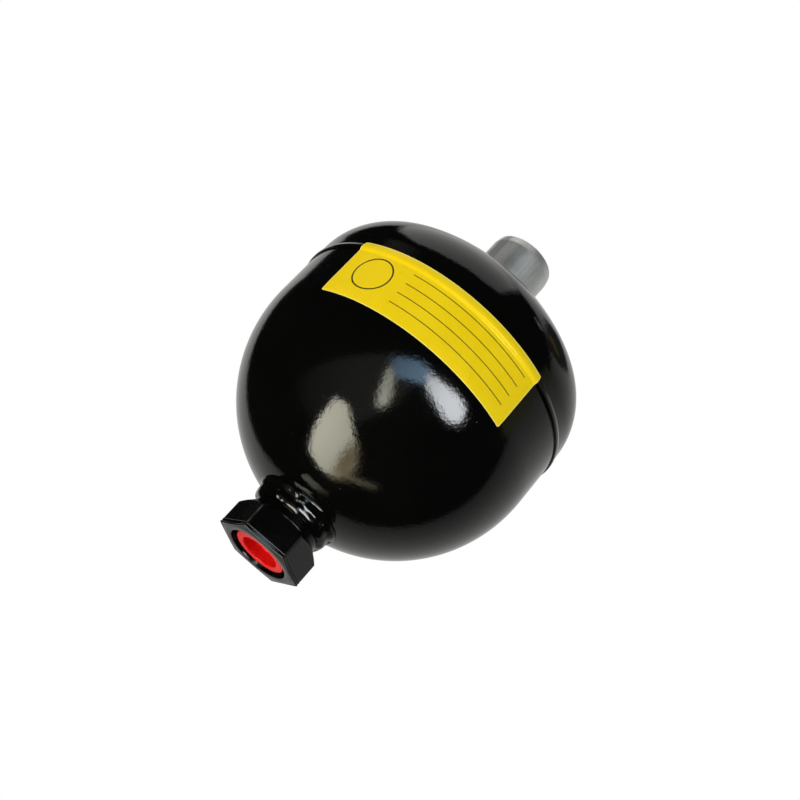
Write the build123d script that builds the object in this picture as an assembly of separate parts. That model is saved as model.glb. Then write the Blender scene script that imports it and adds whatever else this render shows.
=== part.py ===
from build123d import *
from math import atan2, cos, degrees, pi, radians, sin, sqrt, tan
import os

# Welded diaphragm accumulator, modelled upright: +Z runs along its axis from the fluid port to
# the gas valve, and the origin is the centre of the port's flat end face. Millimetres.

# Shell
shell_radius = 70.0
wall = 4.5
dome_foot_height = 23.5        # lowest point of the fluid dome above the port face
equator_to_seam = 20.8
equator_to_knuckle = 28.6
gas_head_height = 44.5         # knuckle start to the crown's top
knuckle_radius = 30.0
lip_height = 0.65              # how far the gas half's edge stands proud of the belt
lip_length = 5.0
lip_taper = 1.8
lip_chamfer = 0.4
seam_groove = 1.0
seam_weld_inset = 0.15         # weld's edge at the lip, inside the belt's face
seam_weld_toe = 0.5            # how far down the groove's wall the weld reaches
ledge_depth = 1.5              # rebate in the fluid half that takes bead and clamp ring
ledge_below_seam = 10.3

# Fluid port
hex_across_flats = 36.0
hex_length = 15.0
hex_front_circle = 20.0
hex_back_circle = 16.6
hex_chamfer_angle = 35.0
neck_radius = 16.2
mouth_radius = 14.4
lead_in_radius = 13.7
lead_in_depth = 8.0
thread_radius = 13.3           # G 3/4 at its major diameter, with room for a stud
thread_length = 12.0
passage_radius = 5.0
passage_cone = 1.6
weld_ring_radius = 15.4
weld_bead_radius = 3.3
weld_bead_drop = 2.3           # centre of the bead below the dome's foot
weld_toe_radius = 19.6         # where the weld runs out on the dome

# Push-in port plug
plug_radius = 12.3
plug_recess_radius = 8.7
plug_inset = 1.1
plug_floor = 1.4
plug_lip_radius = 13.45
plug_lip_width = 1.0
plug_lip_pitch = 2.4
plug_edge = 0.5

# Diaphragm with its button
diaphragm_thickness = 2.6
diaphragm_hub_radius = 13.0
diaphragm_hub_rise = 2.0
bead_height = 5.0
bead_width = 5.1
button_radius = 9.0
button_thickness = 2.1
button_seat_depth = 2.2
button_edge = 0.4
stem_radius = 3.5
washer_radius = 8.0
washer_thickness = 1.2
rivet_radius = 5.0
rivet_height = 1.5
rivet_edge = 0.8
clamp_ring_width = 4.9
clamp_ring_rise = 6.5
clamp_ring_edge = 1.0

# Gas boss and protective cap
boss_radius = 14.0             # M28 x 1.5 outside thread
boss_tail_radius = 12.0
boss_height = 8.7
boss_edge = 0.8
boss_tail_reach = 1.6          # past the crown's inner face
boss_weld_width = 1.6
boss_weld_rise = 1.2
boss_weld_toe = 0.2            # weld's outer edge below the boss's shoulder
gas_hole_radius = 3.0
cap_radius = 15.65
cap_length = 25.95
cap_standoff = 1.45
cap_end_wall = 2.2
cap_cavity_radius = 12.8
cap_edge = 0.9                 # rounding of the closed end
cap_mouth_edge = 0.4
cap_gasket_thickness = 1.2
cap_gasket_inner_radius = 11.0

# Gas valve
valve_hex_across_flats = 17.0
valve_hex_height = 4.8
valve_hex_circle = 9.2
valve_shank_radius = 6.0
valve_shank_length = 11.5
valve_stem_radius = 3.85
valve_stem_length = 6.9
valve_stem_edge = 0.5
core_bore_radius = 2.6
core_bore_depth = 8.4
spring_bore_radius = 1.9
spring_bore_length = 9.6
pin_hole_radius = 0.9
shank_seal_radius = 0.65
barrel_length = 6.0
barrel_radius = 2.45
barrel_nose_radius = 1.7
barrel_nose_length = 0.9
barrel_edge = 0.3
pin_radius = 0.5
pin_edge = 0.2
pin_flange_radius = 1.5
pin_flange_height = 0.7
pin_tail = 0.2                 # pin's tail above the spring bore's floor
pin_seal_height = 1.4
pin_seal_radius = 1.6
pin_below_stem = 0.2
spring_wire_radius = 0.22
spring_turns = 6
wire_flats = 6                 # the fine wire is kept to few faces
cap_nut_radius = 5.4
cap_nut_end = 1.4
cap_nut_standoff = 0.8
cap_nut_flats = 12
cap_nut_edge = 0.6
cap_nut_gap = 0.25             # from the stem's thread
nut_seal_thickness = 0.5

# Label
label_length = 99.8
label_low = -5.9               # lower edge, from the equator
label_high = 24.4              # upper edge, from the equator
label_angle = -93.5            # middle of the label, degrees from +X
label_thickness = 0.17
label_bond = 0.03
label_lift_off = 1.0           # where the film leaves the belt, below the seam
label_touch_down = 0.3         # where it lies on the lip, above the seam

# Clearances
slip = 0.3                     # between pieces that move past each other
snug = 0.1                     # between pieces that are fixed together
thread_gap = 0.2
close_fit = 0.05               # between a seal or spring and what it bears on
overshoot = 1.0                # how far a cutting form runs past what it cuts

# Heights that follow from the sizes above
inner_radius = shell_radius - wall
equator = dome_foot_height + shell_radius
seam = equator + equator_to_seam
knuckle_start = equator + equator_to_knuckle
inside_foot = dome_foot_height + wall
ledge = seam - ledge_below_seam
ledge_radius = inner_radius + ledge_depth
crown_radius = (
    (shell_radius**2 - 2 * shell_radius * knuckle_radius + gas_head_height**2)
    / (2 * (gas_head_height - knuckle_radius))
)
crown_centre = knuckle_start + gas_head_height - crown_radius
knuckle_offset = shell_radius - knuckle_radius
knuckle_turn = atan2(knuckle_start - crown_centre, knuckle_offset)
shoulder = crown_centre + sqrt(crown_radius**2 - boss_tail_radius**2) + close_fit
boss_top = shoulder + boss_height
cap_foot = shoulder + cap_standoff
cap_top = cap_foot + cap_length
gasket_foot = boss_top + snug
gasket_top = gasket_foot + cap_gasket_thickness
hex_foot = boss_top + snug
stem_foot = hex_foot + valve_hex_height
stem_top = stem_foot + valve_stem_length
core_floor = stem_top - core_bore_depth
spring_floor = core_floor - spring_bore_length
button_seat = inside_foot - button_seat_depth
button_foot = button_seat + snug
hub_top = inside_foot + slip + diaphragm_thickness + diaphragm_hub_rise


def turned(points, arc=360.0):
    """Solid of revolution about Z, from the (radius, height) corners of its section."""
    outline = Polyline([(radius, 0, height) for radius, height in points], close=True)
    return revolve(make_face(outline), Axis.Z, arc)


def tube(inner, outer, low, high):
    return turned([(inner, low), (outer, low), (outer, high), (inner, high)])


def rod(radius, low, high):
    return Pos(0, 0, low) * Cylinder(radius, high - low, align=(Align.CENTER, Align.CENTER, Align.MIN))


def ring(radius, section_radius, height):
    return Pos(0, 0, height) * Torus(radius, section_radius)


def hexagon(across_flats, low, high):
    """Hexagonal bar with one flat square to -Y."""
    outline = RegularPolygon(across_flats / 2, 6, major_radius=False)
    return Pos(0, 0, low) * extrude(outline, high - low)


def hex_turning(across_flats, low, high, low_circle, high_circle):
    """Blank that the bar is turned from: it takes the corners off both ends at the chamfer angle."""
    corner = across_flats / 2 / cos(pi / 6) + overshoot
    slope = tan(radians(hex_chamfer_angle))
    return turned([
        (0, low), (low_circle, low), (corner, low + (corner - low_circle) * slope),
        (corner, high - (corner - high_circle) * slope), (high_circle, high), (0, high),
    ])


def fluid_form(inset, top):
    """Inside or outside form of the fluid half: half a sphere carried up as a cylinder."""
    radius = shell_radius - inset
    foot = (0, 0, equator - radius)
    quarter = (radius * sin(pi / 4), 0, equator - radius * cos(pi / 4))
    outline = [
        ThreePointArc(foot, quarter, (radius, 0, equator)),
        Polyline([(radius, 0, equator), (radius, 0, top), (0, 0, top), foot]),
    ]
    return revolve(make_face(outline), Axis.Z)


def gas_form(inset, low, edge):
    """Form of the gas half above low: edge points, then knuckle and crown arcs to the axis."""
    radius = knuckle_radius - inset
    start = (knuckle_offset + radius, 0, knuckle_start)
    middle = (
        knuckle_offset + radius * cos(knuckle_turn / 2), 0,
        knuckle_start + radius * sin(knuckle_turn / 2),
    )
    join = (
        knuckle_offset + radius * cos(knuckle_turn), 0,
        knuckle_start + radius * sin(knuckle_turn),
    )
    crown = crown_radius - inset
    half_turn = (knuckle_turn + pi / 2) / 2
    shoulder_point = (crown * cos(half_turn), 0, crown_centre + crown * sin(half_turn))
    top = (0, 0, crown_centre + crown)
    corners = [(0, 0, low)] + [(r, 0, z) for r, z in edge] + [start]
    outline = [
        Polyline(corners),
        ThreePointArc(start, middle, join),
        ThreePointArc(join, shoulder_point, top),
        Line(top, (0, 0, low)),
    ]
    return revolve(make_face(outline), Axis.Z)


def fluid_shell():
    shell = fluid_form(0, seam) - fluid_form(wall, seam + overshoot)
    shell -= rod(ledge_radius, ledge, seam + overshoot)
    shell -= rod(neck_radius + snug / 2, 0, inside_foot + wall)
    outside = shell_radius + overshoot
    rim = turned([
        (shell_radius - seam_groove, seam), (outside, seam - seam_groove - overshoot), (outside, seam),
    ])
    return shell - rim


def gas_shell():
    proud = shell_radius + lip_height
    lip = [
        (proud - lip_chamfer, seam), (proud, seam + lip_chamfer), (proud, seam + lip_length),
        (shell_radius, seam + lip_length + lip_taper),
    ]
    below = seam - overshoot
    hollow = gas_form(wall, below, [(inner_radius, below)])
    hole = rod(boss_tail_radius + snug / 2, knuckle_start, cap_top)
    return gas_form(0, seam, lip) - hollow - hole


def seam_weld():
    outer = shell_radius - seam_weld_inset
    inner = shell_radius - seam_groove + snug
    return turned([(inner, seam), (outer, seam), (inner + seam_weld_toe, seam - seam_weld_toe)])


def port_fitting():
    bar = hexagon(hex_across_flats, 0, hex_length)
    bar &= hex_turning(hex_across_flats, 0, hex_length, hex_front_circle, hex_back_circle)
    body = bar + rod(neck_radius, hex_length / 2, inside_foot + wall)
    body -= fluid_form(wall, seam)
    thread_end = lead_in_depth + thread_length
    bore = turned([
        (0, -overshoot), (mouth_radius + overshoot, -overshoot),
        (lead_in_radius, mouth_radius - lead_in_radius),
        (lead_in_radius, lead_in_depth), (thread_radius, lead_in_depth), (thread_radius, thread_end),
        (passage_radius, thread_end + passage_cone), (passage_radius, button_seat),
        (button_radius + slip, button_seat), (button_radius + slip, inside_foot + wall),
        (0, inside_foot + wall),
    ])
    return body - bore


def port_weld():
    """Bead round the neck, running out on the dome above it."""
    centre = dome_foot_height - weld_bead_drop
    toe_height = equator - sqrt(shell_radius**2 - weld_toe_radius**2)
    bead = ring(weld_ring_radius, weld_bead_radius, centre)
    bead += turned([
        (neck_radius, centre), (weld_ring_radius + weld_bead_radius, centre),
        (weld_toe_radius, toe_height), (neck_radius, toe_height),
    ])
    bead -= rod(neck_radius + snug / 2, 0, equator)
    return bead - fluid_form(-snug / 2, seam)


def port_plug():
    foot = plug_inset
    head = lead_in_depth - snug
    floor = head - plug_floor
    cup = turned([
        (0, floor), (plug_recess_radius, floor), (plug_recess_radius, foot + plug_edge),
        (plug_recess_radius + plug_edge, foot), (plug_radius - plug_edge, foot),
        (plug_radius, foot + plug_edge), (plug_radius, head), (0, head),
    ])
    for step in range(2):
        top = head - step * plug_lip_pitch
        cup += turned([
            (plug_recess_radius + plug_edge, top - plug_lip_width), (plug_radius, top - plug_lip_width),
            (plug_lip_radius, top - plug_lip_width / 2), (plug_lip_radius, top),
            (plug_recess_radius + plug_edge, top),
        ])
    return cup


def diaphragm():
    cup = fluid_form(wall + slip, ledge + snug + bead_height)
    bead_foot = ledge + snug
    bead_outer = ledge_radius - slip
    cup += tube(bead_outer - bead_width, bead_outer, bead_foot, bead_foot + bead_height)
    cup -= fluid_form(wall + slip + diaphragm_thickness, bead_foot + bead_height + overshoot)
    hub = rod(diaphragm_hub_radius, inside_foot, hub_top) & fluid_form(wall + slip, seam)
    return cup + hub - rod(stem_radius + slip, inside_foot, hub_top)


def diaphragm_button():
    foot = button_foot
    head = hub_top + snug + washer_thickness + snug
    return turned([
        (0, foot), (button_radius - button_edge, foot), (button_radius, foot + button_edge),
        (button_radius, foot + button_thickness - slip), (stem_radius, foot + button_thickness),
        (stem_radius, head), (rivet_radius, head), (rivet_radius - rivet_edge, head + rivet_height),
        (0, head + rivet_height),
    ])


def button_washer():
    foot = hub_top + snug
    return tube(stem_radius + snug, washer_radius, foot, foot + washer_thickness)


def clamp_ring():
    outer = ledge_radius - slip
    inner = outer - clamp_ring_width
    foot = ledge + snug + bead_height + snug
    step = seam - slip
    return turned([
        (inner, foot), (outer, foot), (outer, step), (inner_radius - slip, step),
        (inner_radius - slip, seam + clamp_ring_rise),
        (inner + clamp_ring_edge, seam + clamp_ring_rise),
        (inner, seam + clamp_ring_rise - clamp_ring_edge),
    ])


def gas_boss():
    tail = crown_centre + crown_radius - wall - boss_tail_reach
    seat = shank_seal_radius * (2 + sqrt(2)) + snug
    bore = valve_shank_radius + snug
    shank_foot = boss_top - valve_shank_length - snug
    return turned([
        (gas_hole_radius, tail), (boss_tail_radius, tail), (boss_tail_radius, shoulder),
        (boss_radius, shoulder), (boss_radius, boss_top - boss_edge), (boss_radius - boss_edge, boss_top),
        (bore + seat, boss_top), (bore, boss_top - seat), (bore, shank_foot),
        (gas_hole_radius, shank_foot),
    ])


def gas_boss_weld():
    inner = boss_radius + snug / 2
    outer = boss_radius + boss_weld_width
    foot = crown_centre + crown_radius - wall
    fillet_ring = turned([
        (inner, foot), (outer, foot), (outer, shoulder - boss_weld_toe),
        (inner, shoulder + boss_weld_rise),
    ])
    return fillet_ring - gas_form(-snug / 2, seam, [(shell_radius + snug / 2, seam)])


def protective_cap():
    thread_top = gasket_top + snug
    roof = cap_top - cap_end_wall
    bore = boss_radius + thread_gap
    mouth = cap_foot + cap_mouth_edge
    cap = turned([
        (bore + cap_mouth_edge, cap_foot), (cap_radius - cap_mouth_edge, cap_foot), (cap_radius, mouth),
        (cap_radius, cap_top), (0, cap_top), (0, roof), (cap_cavity_radius, roof),
        (cap_cavity_radius, thread_top), (bore, thread_top), (bore, mouth),
    ])
    return fillet(cap.edges().sort_by(Axis.Z)[-1], cap_edge)


def cap_gasket():
    return tube(cap_gasket_inner_radius, boss_radius, gasket_foot, gasket_top)


def valve_body():
    bar = hexagon(valve_hex_across_flats, hex_foot, stem_foot)
    bar &= hex_turning(valve_hex_across_flats, hex_foot, stem_foot, valve_hex_circle, valve_hex_circle)
    shank_foot = boss_top - valve_shank_length
    body = bar + rod(valve_shank_radius, shank_foot, hex_foot)
    body += turned([
        (0, hex_foot), (valve_stem_radius, hex_foot), (valve_stem_radius, stem_top - valve_stem_edge),
        (valve_stem_radius - valve_stem_edge, stem_top), (0, stem_top),
    ])
    return body - turned([
        (0, shank_foot - overshoot), (pin_hole_radius, shank_foot - overshoot),
        (pin_hole_radius, spring_floor), (spring_bore_radius, spring_floor),
        (spring_bore_radius, core_floor), (core_bore_radius, core_floor),
        (core_bore_radius, stem_top + overshoot), (0, stem_top + overshoot),
    ])


def valve_body_seal():
    """O-ring in the boss's countersink, touching shank, cone and flange."""
    reach = shank_seal_radius + snug / 2
    return ring(valve_shank_radius + reach, shank_seal_radius, hex_foot - reach)


def core_barrel():
    nose = core_floor + snug
    shoulder_height = nose + barrel_nose_length
    top = nose + barrel_length
    return turned([
        (pin_hole_radius, nose), (barrel_nose_radius, nose), (barrel_nose_radius, shoulder_height),
        (barrel_radius, shoulder_height), (barrel_radius, top - barrel_edge),
        (barrel_radius - barrel_edge, top),
        (pin_hole_radius, top),
    ])


def core_seal():
    foot = core_floor + snug - close_fit
    return tube(barrel_nose_radius + close_fit, barrel_radius + close_fit, foot, foot + barrel_nose_length)


def valve_pin():
    flange_top = core_floor - pin_seal_height - close_fit
    flange_foot = flange_top - pin_flange_height
    foot = spring_floor + pin_tail
    top = stem_top - pin_below_stem
    return turned([
        (0, foot), (pin_radius, foot), (pin_radius, flange_foot), (pin_flange_radius, flange_foot),
        (pin_flange_radius, flange_top), (pin_radius, flange_top), (pin_radius, top - pin_edge),
        (pin_radius - pin_edge, top), (0, top),
    ])


def pin_seal():
    top = core_floor
    return tube(pin_radius + close_fit, pin_seal_radius, top - pin_seal_height, top)


def valve_spring():
    low = spring_floor + spring_wire_radius + close_fit
    flange_foot = core_floor - pin_seal_height - close_fit - pin_flange_height
    high = flange_foot - spring_wire_radius - close_fit
    mean = (pin_radius + spring_bore_radius) / 2
    path = Helix((high - low) / spring_turns, high - low, mean, center=(0, 0, low))
    section = Plane(origin=path @ 0, z_dir=path % 0) * RegularPolygon(spring_wire_radius, wire_flats)
    return sweep(section, path, is_frenet=True)


def cap_nut():
    foot = stem_foot + cap_nut_standoff
    bore = valve_stem_radius + cap_nut_gap
    inside = stem_top + snug + nut_seal_thickness + close_fit
    top = inside + cap_nut_end
    nut = Pos(0, 0, foot) * extrude(RegularPolygon(cap_nut_radius, cap_nut_flats), top - foot)
    nut &= turned([
        (0, foot), (cap_nut_radius, foot), (cap_nut_radius, top - cap_nut_edge),
        (cap_nut_radius - cap_nut_edge, top), (0, top),
    ])
    return nut - rod(bore, foot - overshoot, inside)


def cap_nut_seal():
    return rod(valve_stem_radius, stem_top + snug, stem_top + snug + nut_seal_thickness)


def label():
    """Sticker film wrapped round the belt, climbing onto the lip above the seam."""
    low = equator + label_low
    lip = shell_radius + lip_height

    def film(offset):
        edge = sqrt(shell_radius**2 - label_low**2)
        halfway = sqrt(shell_radius**2 - (label_low / 2)**2)
        return [
            (edge + offset, low), (halfway + offset, equator + label_low / 2),
            (shell_radius + offset, equator), (shell_radius + offset, seam - label_lift_off),
            (lip + offset, seam + label_touch_down), (lip + offset, equator + label_high),
        ]

    section = film(label_bond) + film(label_bond + label_thickness)[::-1]
    arc = degrees(label_length / shell_radius)
    return Rot(0, 0, label_angle - arc / 2) * turned(section, arc)


pieces = {
    "fluid_shell": fluid_shell(),
    "gas_shell": gas_shell(),
    "seam_weld": seam_weld(),
    "port_fitting": port_fitting(),
    "port_weld": port_weld(),
    "port_plug": port_plug(),
    "diaphragm": diaphragm(),
    "diaphragm_button": diaphragm_button(),
    "button_washer": button_washer(),
    "clamp_ring": clamp_ring(),
    "gas_boss": gas_boss(),
    "gas_boss_weld": gas_boss_weld(),
    "valve_body": valve_body(),
    "valve_body_seal": valve_body_seal(),
    "core_barrel": core_barrel(),
    "core_seal": core_seal(),
    "valve_pin": valve_pin(),
    "pin_seal": pin_seal(),
    "valve_spring": valve_spring(),
    "cap_nut": cap_nut(),
    "cap_nut_seal": cap_nut_seal(),
    "protective_cap": protective_cap(),
    "cap_gasket": cap_gasket(),
    "label": label(),
}

os.makedirs("parts", exist_ok=True)
for name, piece in pieces.items():
    export_step(piece, f"parts/{name}.step")
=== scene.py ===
"""Looks of a welded diaphragm accumulator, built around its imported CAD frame.

The frame is in metres with +Z up the axis, from the fluid port to the gas valve. Sizes below are
in millimetres, and MM turns them into metres where a mesh is made.
"""

from collections import namedtuple
from math import atan2, cos, degrees, exp, pi, radians, sin, sqrt, tan

import bmesh
import bpy
from mathutils import Matrix, Vector, noise


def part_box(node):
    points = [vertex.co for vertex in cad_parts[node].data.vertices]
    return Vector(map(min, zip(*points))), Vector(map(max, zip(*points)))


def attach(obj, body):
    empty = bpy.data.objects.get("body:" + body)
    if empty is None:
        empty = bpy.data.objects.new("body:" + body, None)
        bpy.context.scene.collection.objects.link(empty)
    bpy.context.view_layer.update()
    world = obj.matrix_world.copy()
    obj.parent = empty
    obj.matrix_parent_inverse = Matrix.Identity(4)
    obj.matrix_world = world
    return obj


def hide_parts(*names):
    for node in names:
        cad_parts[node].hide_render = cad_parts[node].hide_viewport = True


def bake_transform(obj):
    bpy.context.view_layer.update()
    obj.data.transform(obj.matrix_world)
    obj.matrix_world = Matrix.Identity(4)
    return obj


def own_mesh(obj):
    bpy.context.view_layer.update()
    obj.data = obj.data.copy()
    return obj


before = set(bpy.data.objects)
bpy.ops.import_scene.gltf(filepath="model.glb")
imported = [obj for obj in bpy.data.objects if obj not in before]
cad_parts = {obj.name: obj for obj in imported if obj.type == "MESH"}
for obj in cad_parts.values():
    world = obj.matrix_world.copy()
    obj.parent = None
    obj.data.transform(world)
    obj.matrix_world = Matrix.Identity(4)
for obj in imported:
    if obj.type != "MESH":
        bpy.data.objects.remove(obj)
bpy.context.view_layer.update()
MM = 0.001
merge_distance = 1e-7      # metres, as is the next
least_edge = 1e-8

# Sizes that the looks share with the CAD part

shell_radius = 70.0
wall = 4.5
equator = 93.5
knuckle_radius = 30.0
knuckle_start = 122.1
knuckle_offset = shell_radius - knuckle_radius
crown_radius = 92.422
crown_centre = 74.178
knuckle_turn = degrees(atan2(knuckle_start - crown_centre, knuckle_offset))
inner_radius = shell_radius - wall
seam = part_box("gas_shell")[0].z / MM
ledge = 104.0
ledge_radius = 67.0
seam_groove = 1.0
lip_radius = 70.65
lip_top = seam + 1.5
lip_foot_of_taper = seam + 3.0
lip_taper_step = 0.12      # how far the lip still stands out at the foot of its taper
neck_clearance = 0.05      # between a shell's hole and what is welded into it

neck_radius = 16.2
hex_to_flat = 18.0
hex_to_corner = hex_to_flat / cos(pi / 6)
hex_corner_rounding = 0.8
hex_length = 15.0
hex_front_circle = 16.9
hex_front_angle = 9.0
hex_front_rounding = 0.45  # of the front edge at the middle of a flat
hex_rounding_fall = 0.06   # how much smaller the rounding gets, per mm out to a corner
hex_roll = 0.3             # how far the middle of a flat rolls in at the front edge
hex_back_circle = 16.6
hex_back_angle = 35.0
hex_back_rounding = 0.5
rolled_band = 2.1          # height of the band along the front edge where the flats roll in
mouth_radius = 14.4
mouth_depth = 1.3
mouth_taper_end = 2.4
lead_in_radius = 13.7
lead_in_depth = 8.0
port_thread_radius = 13.3
port_thread_end = 20.0
passage_radius = 5.0
passage_cone = 1.6
button_seat = 25.8
button_recess_radius = 9.3
weld_ring_radius = 15.4

boss_radius = 14.0
boss_thread_root = 13.1
boss_tail_radius = 12.0
boss_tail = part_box("gas_boss")[0].z / MM
boss_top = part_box("gas_boss")[1].z / MM
boss_shoulder = boss_top - 8.7
gas_hole_radius = 3.0
shank_bore_radius = 6.1
shank_bore_floor = boss_top - 11.6
countersink = 2.32

cap_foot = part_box("protective_cap")[0].z / MM
cap_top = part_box("protective_cap")[1].z / MM
cap_radius = 15.65
cap_bore_radius = 14.2
cap_cavity_radius = 12.8
cap_roof = cap_top - 2.2
cap_thread_top = 175.968
cap_draw_in = 0.75
cap_end_height = 4.2       # length of the drawn-in, rounded end


# Turned and gridded meshes


def finished_mesh(name, mesh, material, sharp_angle=35.0, poles=False):
    """Object of a mesh: doubles merged, normals outward, smooth except at sharp edges.

    With poles, the faces that shrink to nothing on the axis are dissolved.
    """
    build = bmesh.new()
    build.from_mesh(mesh)
    bmesh.ops.remove_doubles(build, verts=build.verts, dist=merge_distance)
    if poles:
        bmesh.ops.dissolve_degenerate(build, edges=build.edges, dist=least_edge)
    bmesh.ops.recalc_face_normals(build, faces=build.faces)
    build.to_mesh(mesh)
    build.free()
    mesh.shade_smooth()
    mesh.set_sharp_from_angle(angle=radians(sharp_angle))
    mesh.materials.clear()
    mesh.materials.append(material)
    piece = bpy.data.objects.new(name, mesh)
    bpy.context.scene.collection.objects.link(piece)
    return piece


def weighted_normals(piece):
    """Lets large faces set the shading next to small rounded edges."""
    modifier = piece.modifiers.new("Weighted normals", "WEIGHTED_NORMAL")
    modifier.weight = 60
    modifier.keep_sharp = True
    return piece


def belongs(piece, body, slot, *nodes):
    """The piece rides on a body and stands for the named CAD nodes, which are hidden; slot is not used."""
    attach(piece, body)
    if nodes:
        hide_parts(*nodes)
    return piece


def round_axis(angle, radius, height):
    """Point in metres at an angle about Z, from a radius and a height in millimetres."""
    return (radius * cos(angle) * MM, radius * sin(angle) * MM, height * MM)


def arc(centre, radius, start, end, steps):
    """Points (radius, height) along an arc in the turning plane, from start to end in degrees."""
    points = []
    for step in range(steps + 1):
        angle = radians(start + (end - start) * step / steps)
        points.append((centre[0] + radius * cos(angle), centre[1] + radius * sin(angle)))
    return points


def rounded(corners, steps=4):
    """Closed outline from corners (radius, height, rounding), with each corner rounded off."""
    outline = []
    for index, (x, z, rounding) in enumerate(corners):
        corner = Vector((x, z))
        if not rounding:
            outline.append((x, z))
            continue
        before = (Vector(corners[index - 1][:2]) - corner).normalized()
        after = (Vector(corners[(index + 1) % len(corners)][:2]) - corner).normalized()
        half = before.angle(after) / 2
        centre = corner + (before + after).normalized() * rounding / sin(half)
        first = corner + before * rounding / tan(half) - centre
        last = corner + after * rounding / tan(half) - centre
        start = atan2(first.y, first.x)
        turn = (atan2(last.y, last.x) - start + pi) % (2 * pi) - pi
        for step in range(steps + 1):
            angle = start + turn * step / steps
            outline.append((centre.x + rounding * cos(angle), centre.y + rounding * sin(angle)))
    return outline


def turned_mesh(name, outline, around):
    """Mesh of a closed outline turned about Z; outline(angle) may differ round the turn."""
    angles = [2 * pi * step / around for step in range(around)]
    rings = [outline(angle) for angle in angles]
    count = len(rings[0])
    vertices = []
    for angle, ring in zip(angles, rings):
        vertices += [round_axis(angle, radius, height) for radius, height in ring]
    faces = []
    for step in range(around):
        here = step * count
        there = (step + 1) % around * count
        for index in range(count):
            after = (index + 1) % count
            faces.append((here + index, here + after, there + after, there + index))
    mesh = bpy.data.meshes.new(name)
    mesh.from_pydata(vertices, [], faces)
    return mesh


def turned(name, outline, material, around):
    """Piece turned about Z from one closed outline of (radius, height) points."""
    mesh = turned_mesh(name, lambda angle: outline, around)
    return finished_mesh(name, mesh, material, poles=True)


# Node trees


def feed(tree, socket, value):
    """Links an input socket to an output socket, or sets its value."""
    if isinstance(value, bpy.types.NodeSocket):
        tree.links.new(value, socket)
    else:
        socket.default_value = value


def add_node(tree, kind, output=0, inputs=None, **settings):
    """Adds a node with its settings and inputs, and gives one of its output sockets."""
    node = tree.nodes.new(kind)
    for key, value in settings.items():
        setattr(node, key, value)
    for key, value in (inputs or {}).items():
        feed(tree, node.inputs[key], value)
    return node.outputs[output]


# Material recipes


class Recipe:
    """Node tree of one material; each method adds a node and gives its output socket."""

    def __init__(self, name):
        self.material = bpy.data.materials.new(name)
        self.material.use_nodes = True
        self.tree = self.material.node_tree
        self.shader = self.tree.nodes["Principled BSDF"]
        self.place = self.add("ShaderNodeTexCoord", "Object")

    def add(self, kind, output=0, inputs=None, **settings):
        return add_node(self.tree, kind, output, inputs, **settings)

    def stretched(self, scale):
        """Object coordinates with each axis scaled, so that a pattern on them is drawn out."""
        return self.add("ShaderNodeMapping", inputs={"Vector": self.place, "Scale": scale})

    def grain(self, size, detail=2.0, roughness=0.5, vector=None):
        """Noise from 0 to 1 whose features are about size millimetres."""
        inputs = {"Scale": 1 / (size * MM), "Detail": detail, "Roughness": roughness}
        inputs["Vector"] = vector or self.place
        return self.add("ShaderNodeTexNoise", "Fac", inputs)

    def spots(self, size):
        """Distance to the nearest of scattered points about size millimetres apart."""
        inputs = {"Scale": 1 / (size * MM), "Vector": self.place}
        return self.add("ShaderNodeTexVoronoi", "Distance", inputs)

    def ranged(self, value, low, high, to_low, to_high, smooth=False):
        """Value from low to high, mapped to run from to_low to to_high and held at both ends."""
        inputs = {"Value": value, "From Min": low, "From Max": high, "To Min": to_low, "To Max": to_high}
        kind = "SMOOTHSTEP" if smooth else "LINEAR"
        return self.add("ShaderNodeMapRange", "Result", inputs, interpolation_type=kind)

    def maths(self, operation, first, second=0.0, third=0.0):
        return self.add("ShaderNodeMath", inputs={0: first, 1: second, 2: third}, operation=operation)

    def blended(self, factor, first, second):
        """Colour between first and second by factor."""
        inputs = {"Factor": factor, 6: first, 7: second}
        return self.add("ShaderNodeMix", 2, inputs, data_type="RGBA")

    def bump(self, height, depth, below=None):
        """Normal of a relief depth millimetres deep, laid over an earlier one."""
        inputs = {"Height": height, "Distance": depth * MM, "Strength": 1.0}
        if below is not None:
            inputs["Normal"] = below
        return self.add("ShaderNodeBump", 0, inputs)

    def surface(self, **sockets):
        """Sets the shader's sockets; Base_Color names the socket Base Color."""
        for key, value in sockets.items():
            feed(self.tree, self.shader.inputs[key.replace("_", " ")], value)
        return self.material


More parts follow.
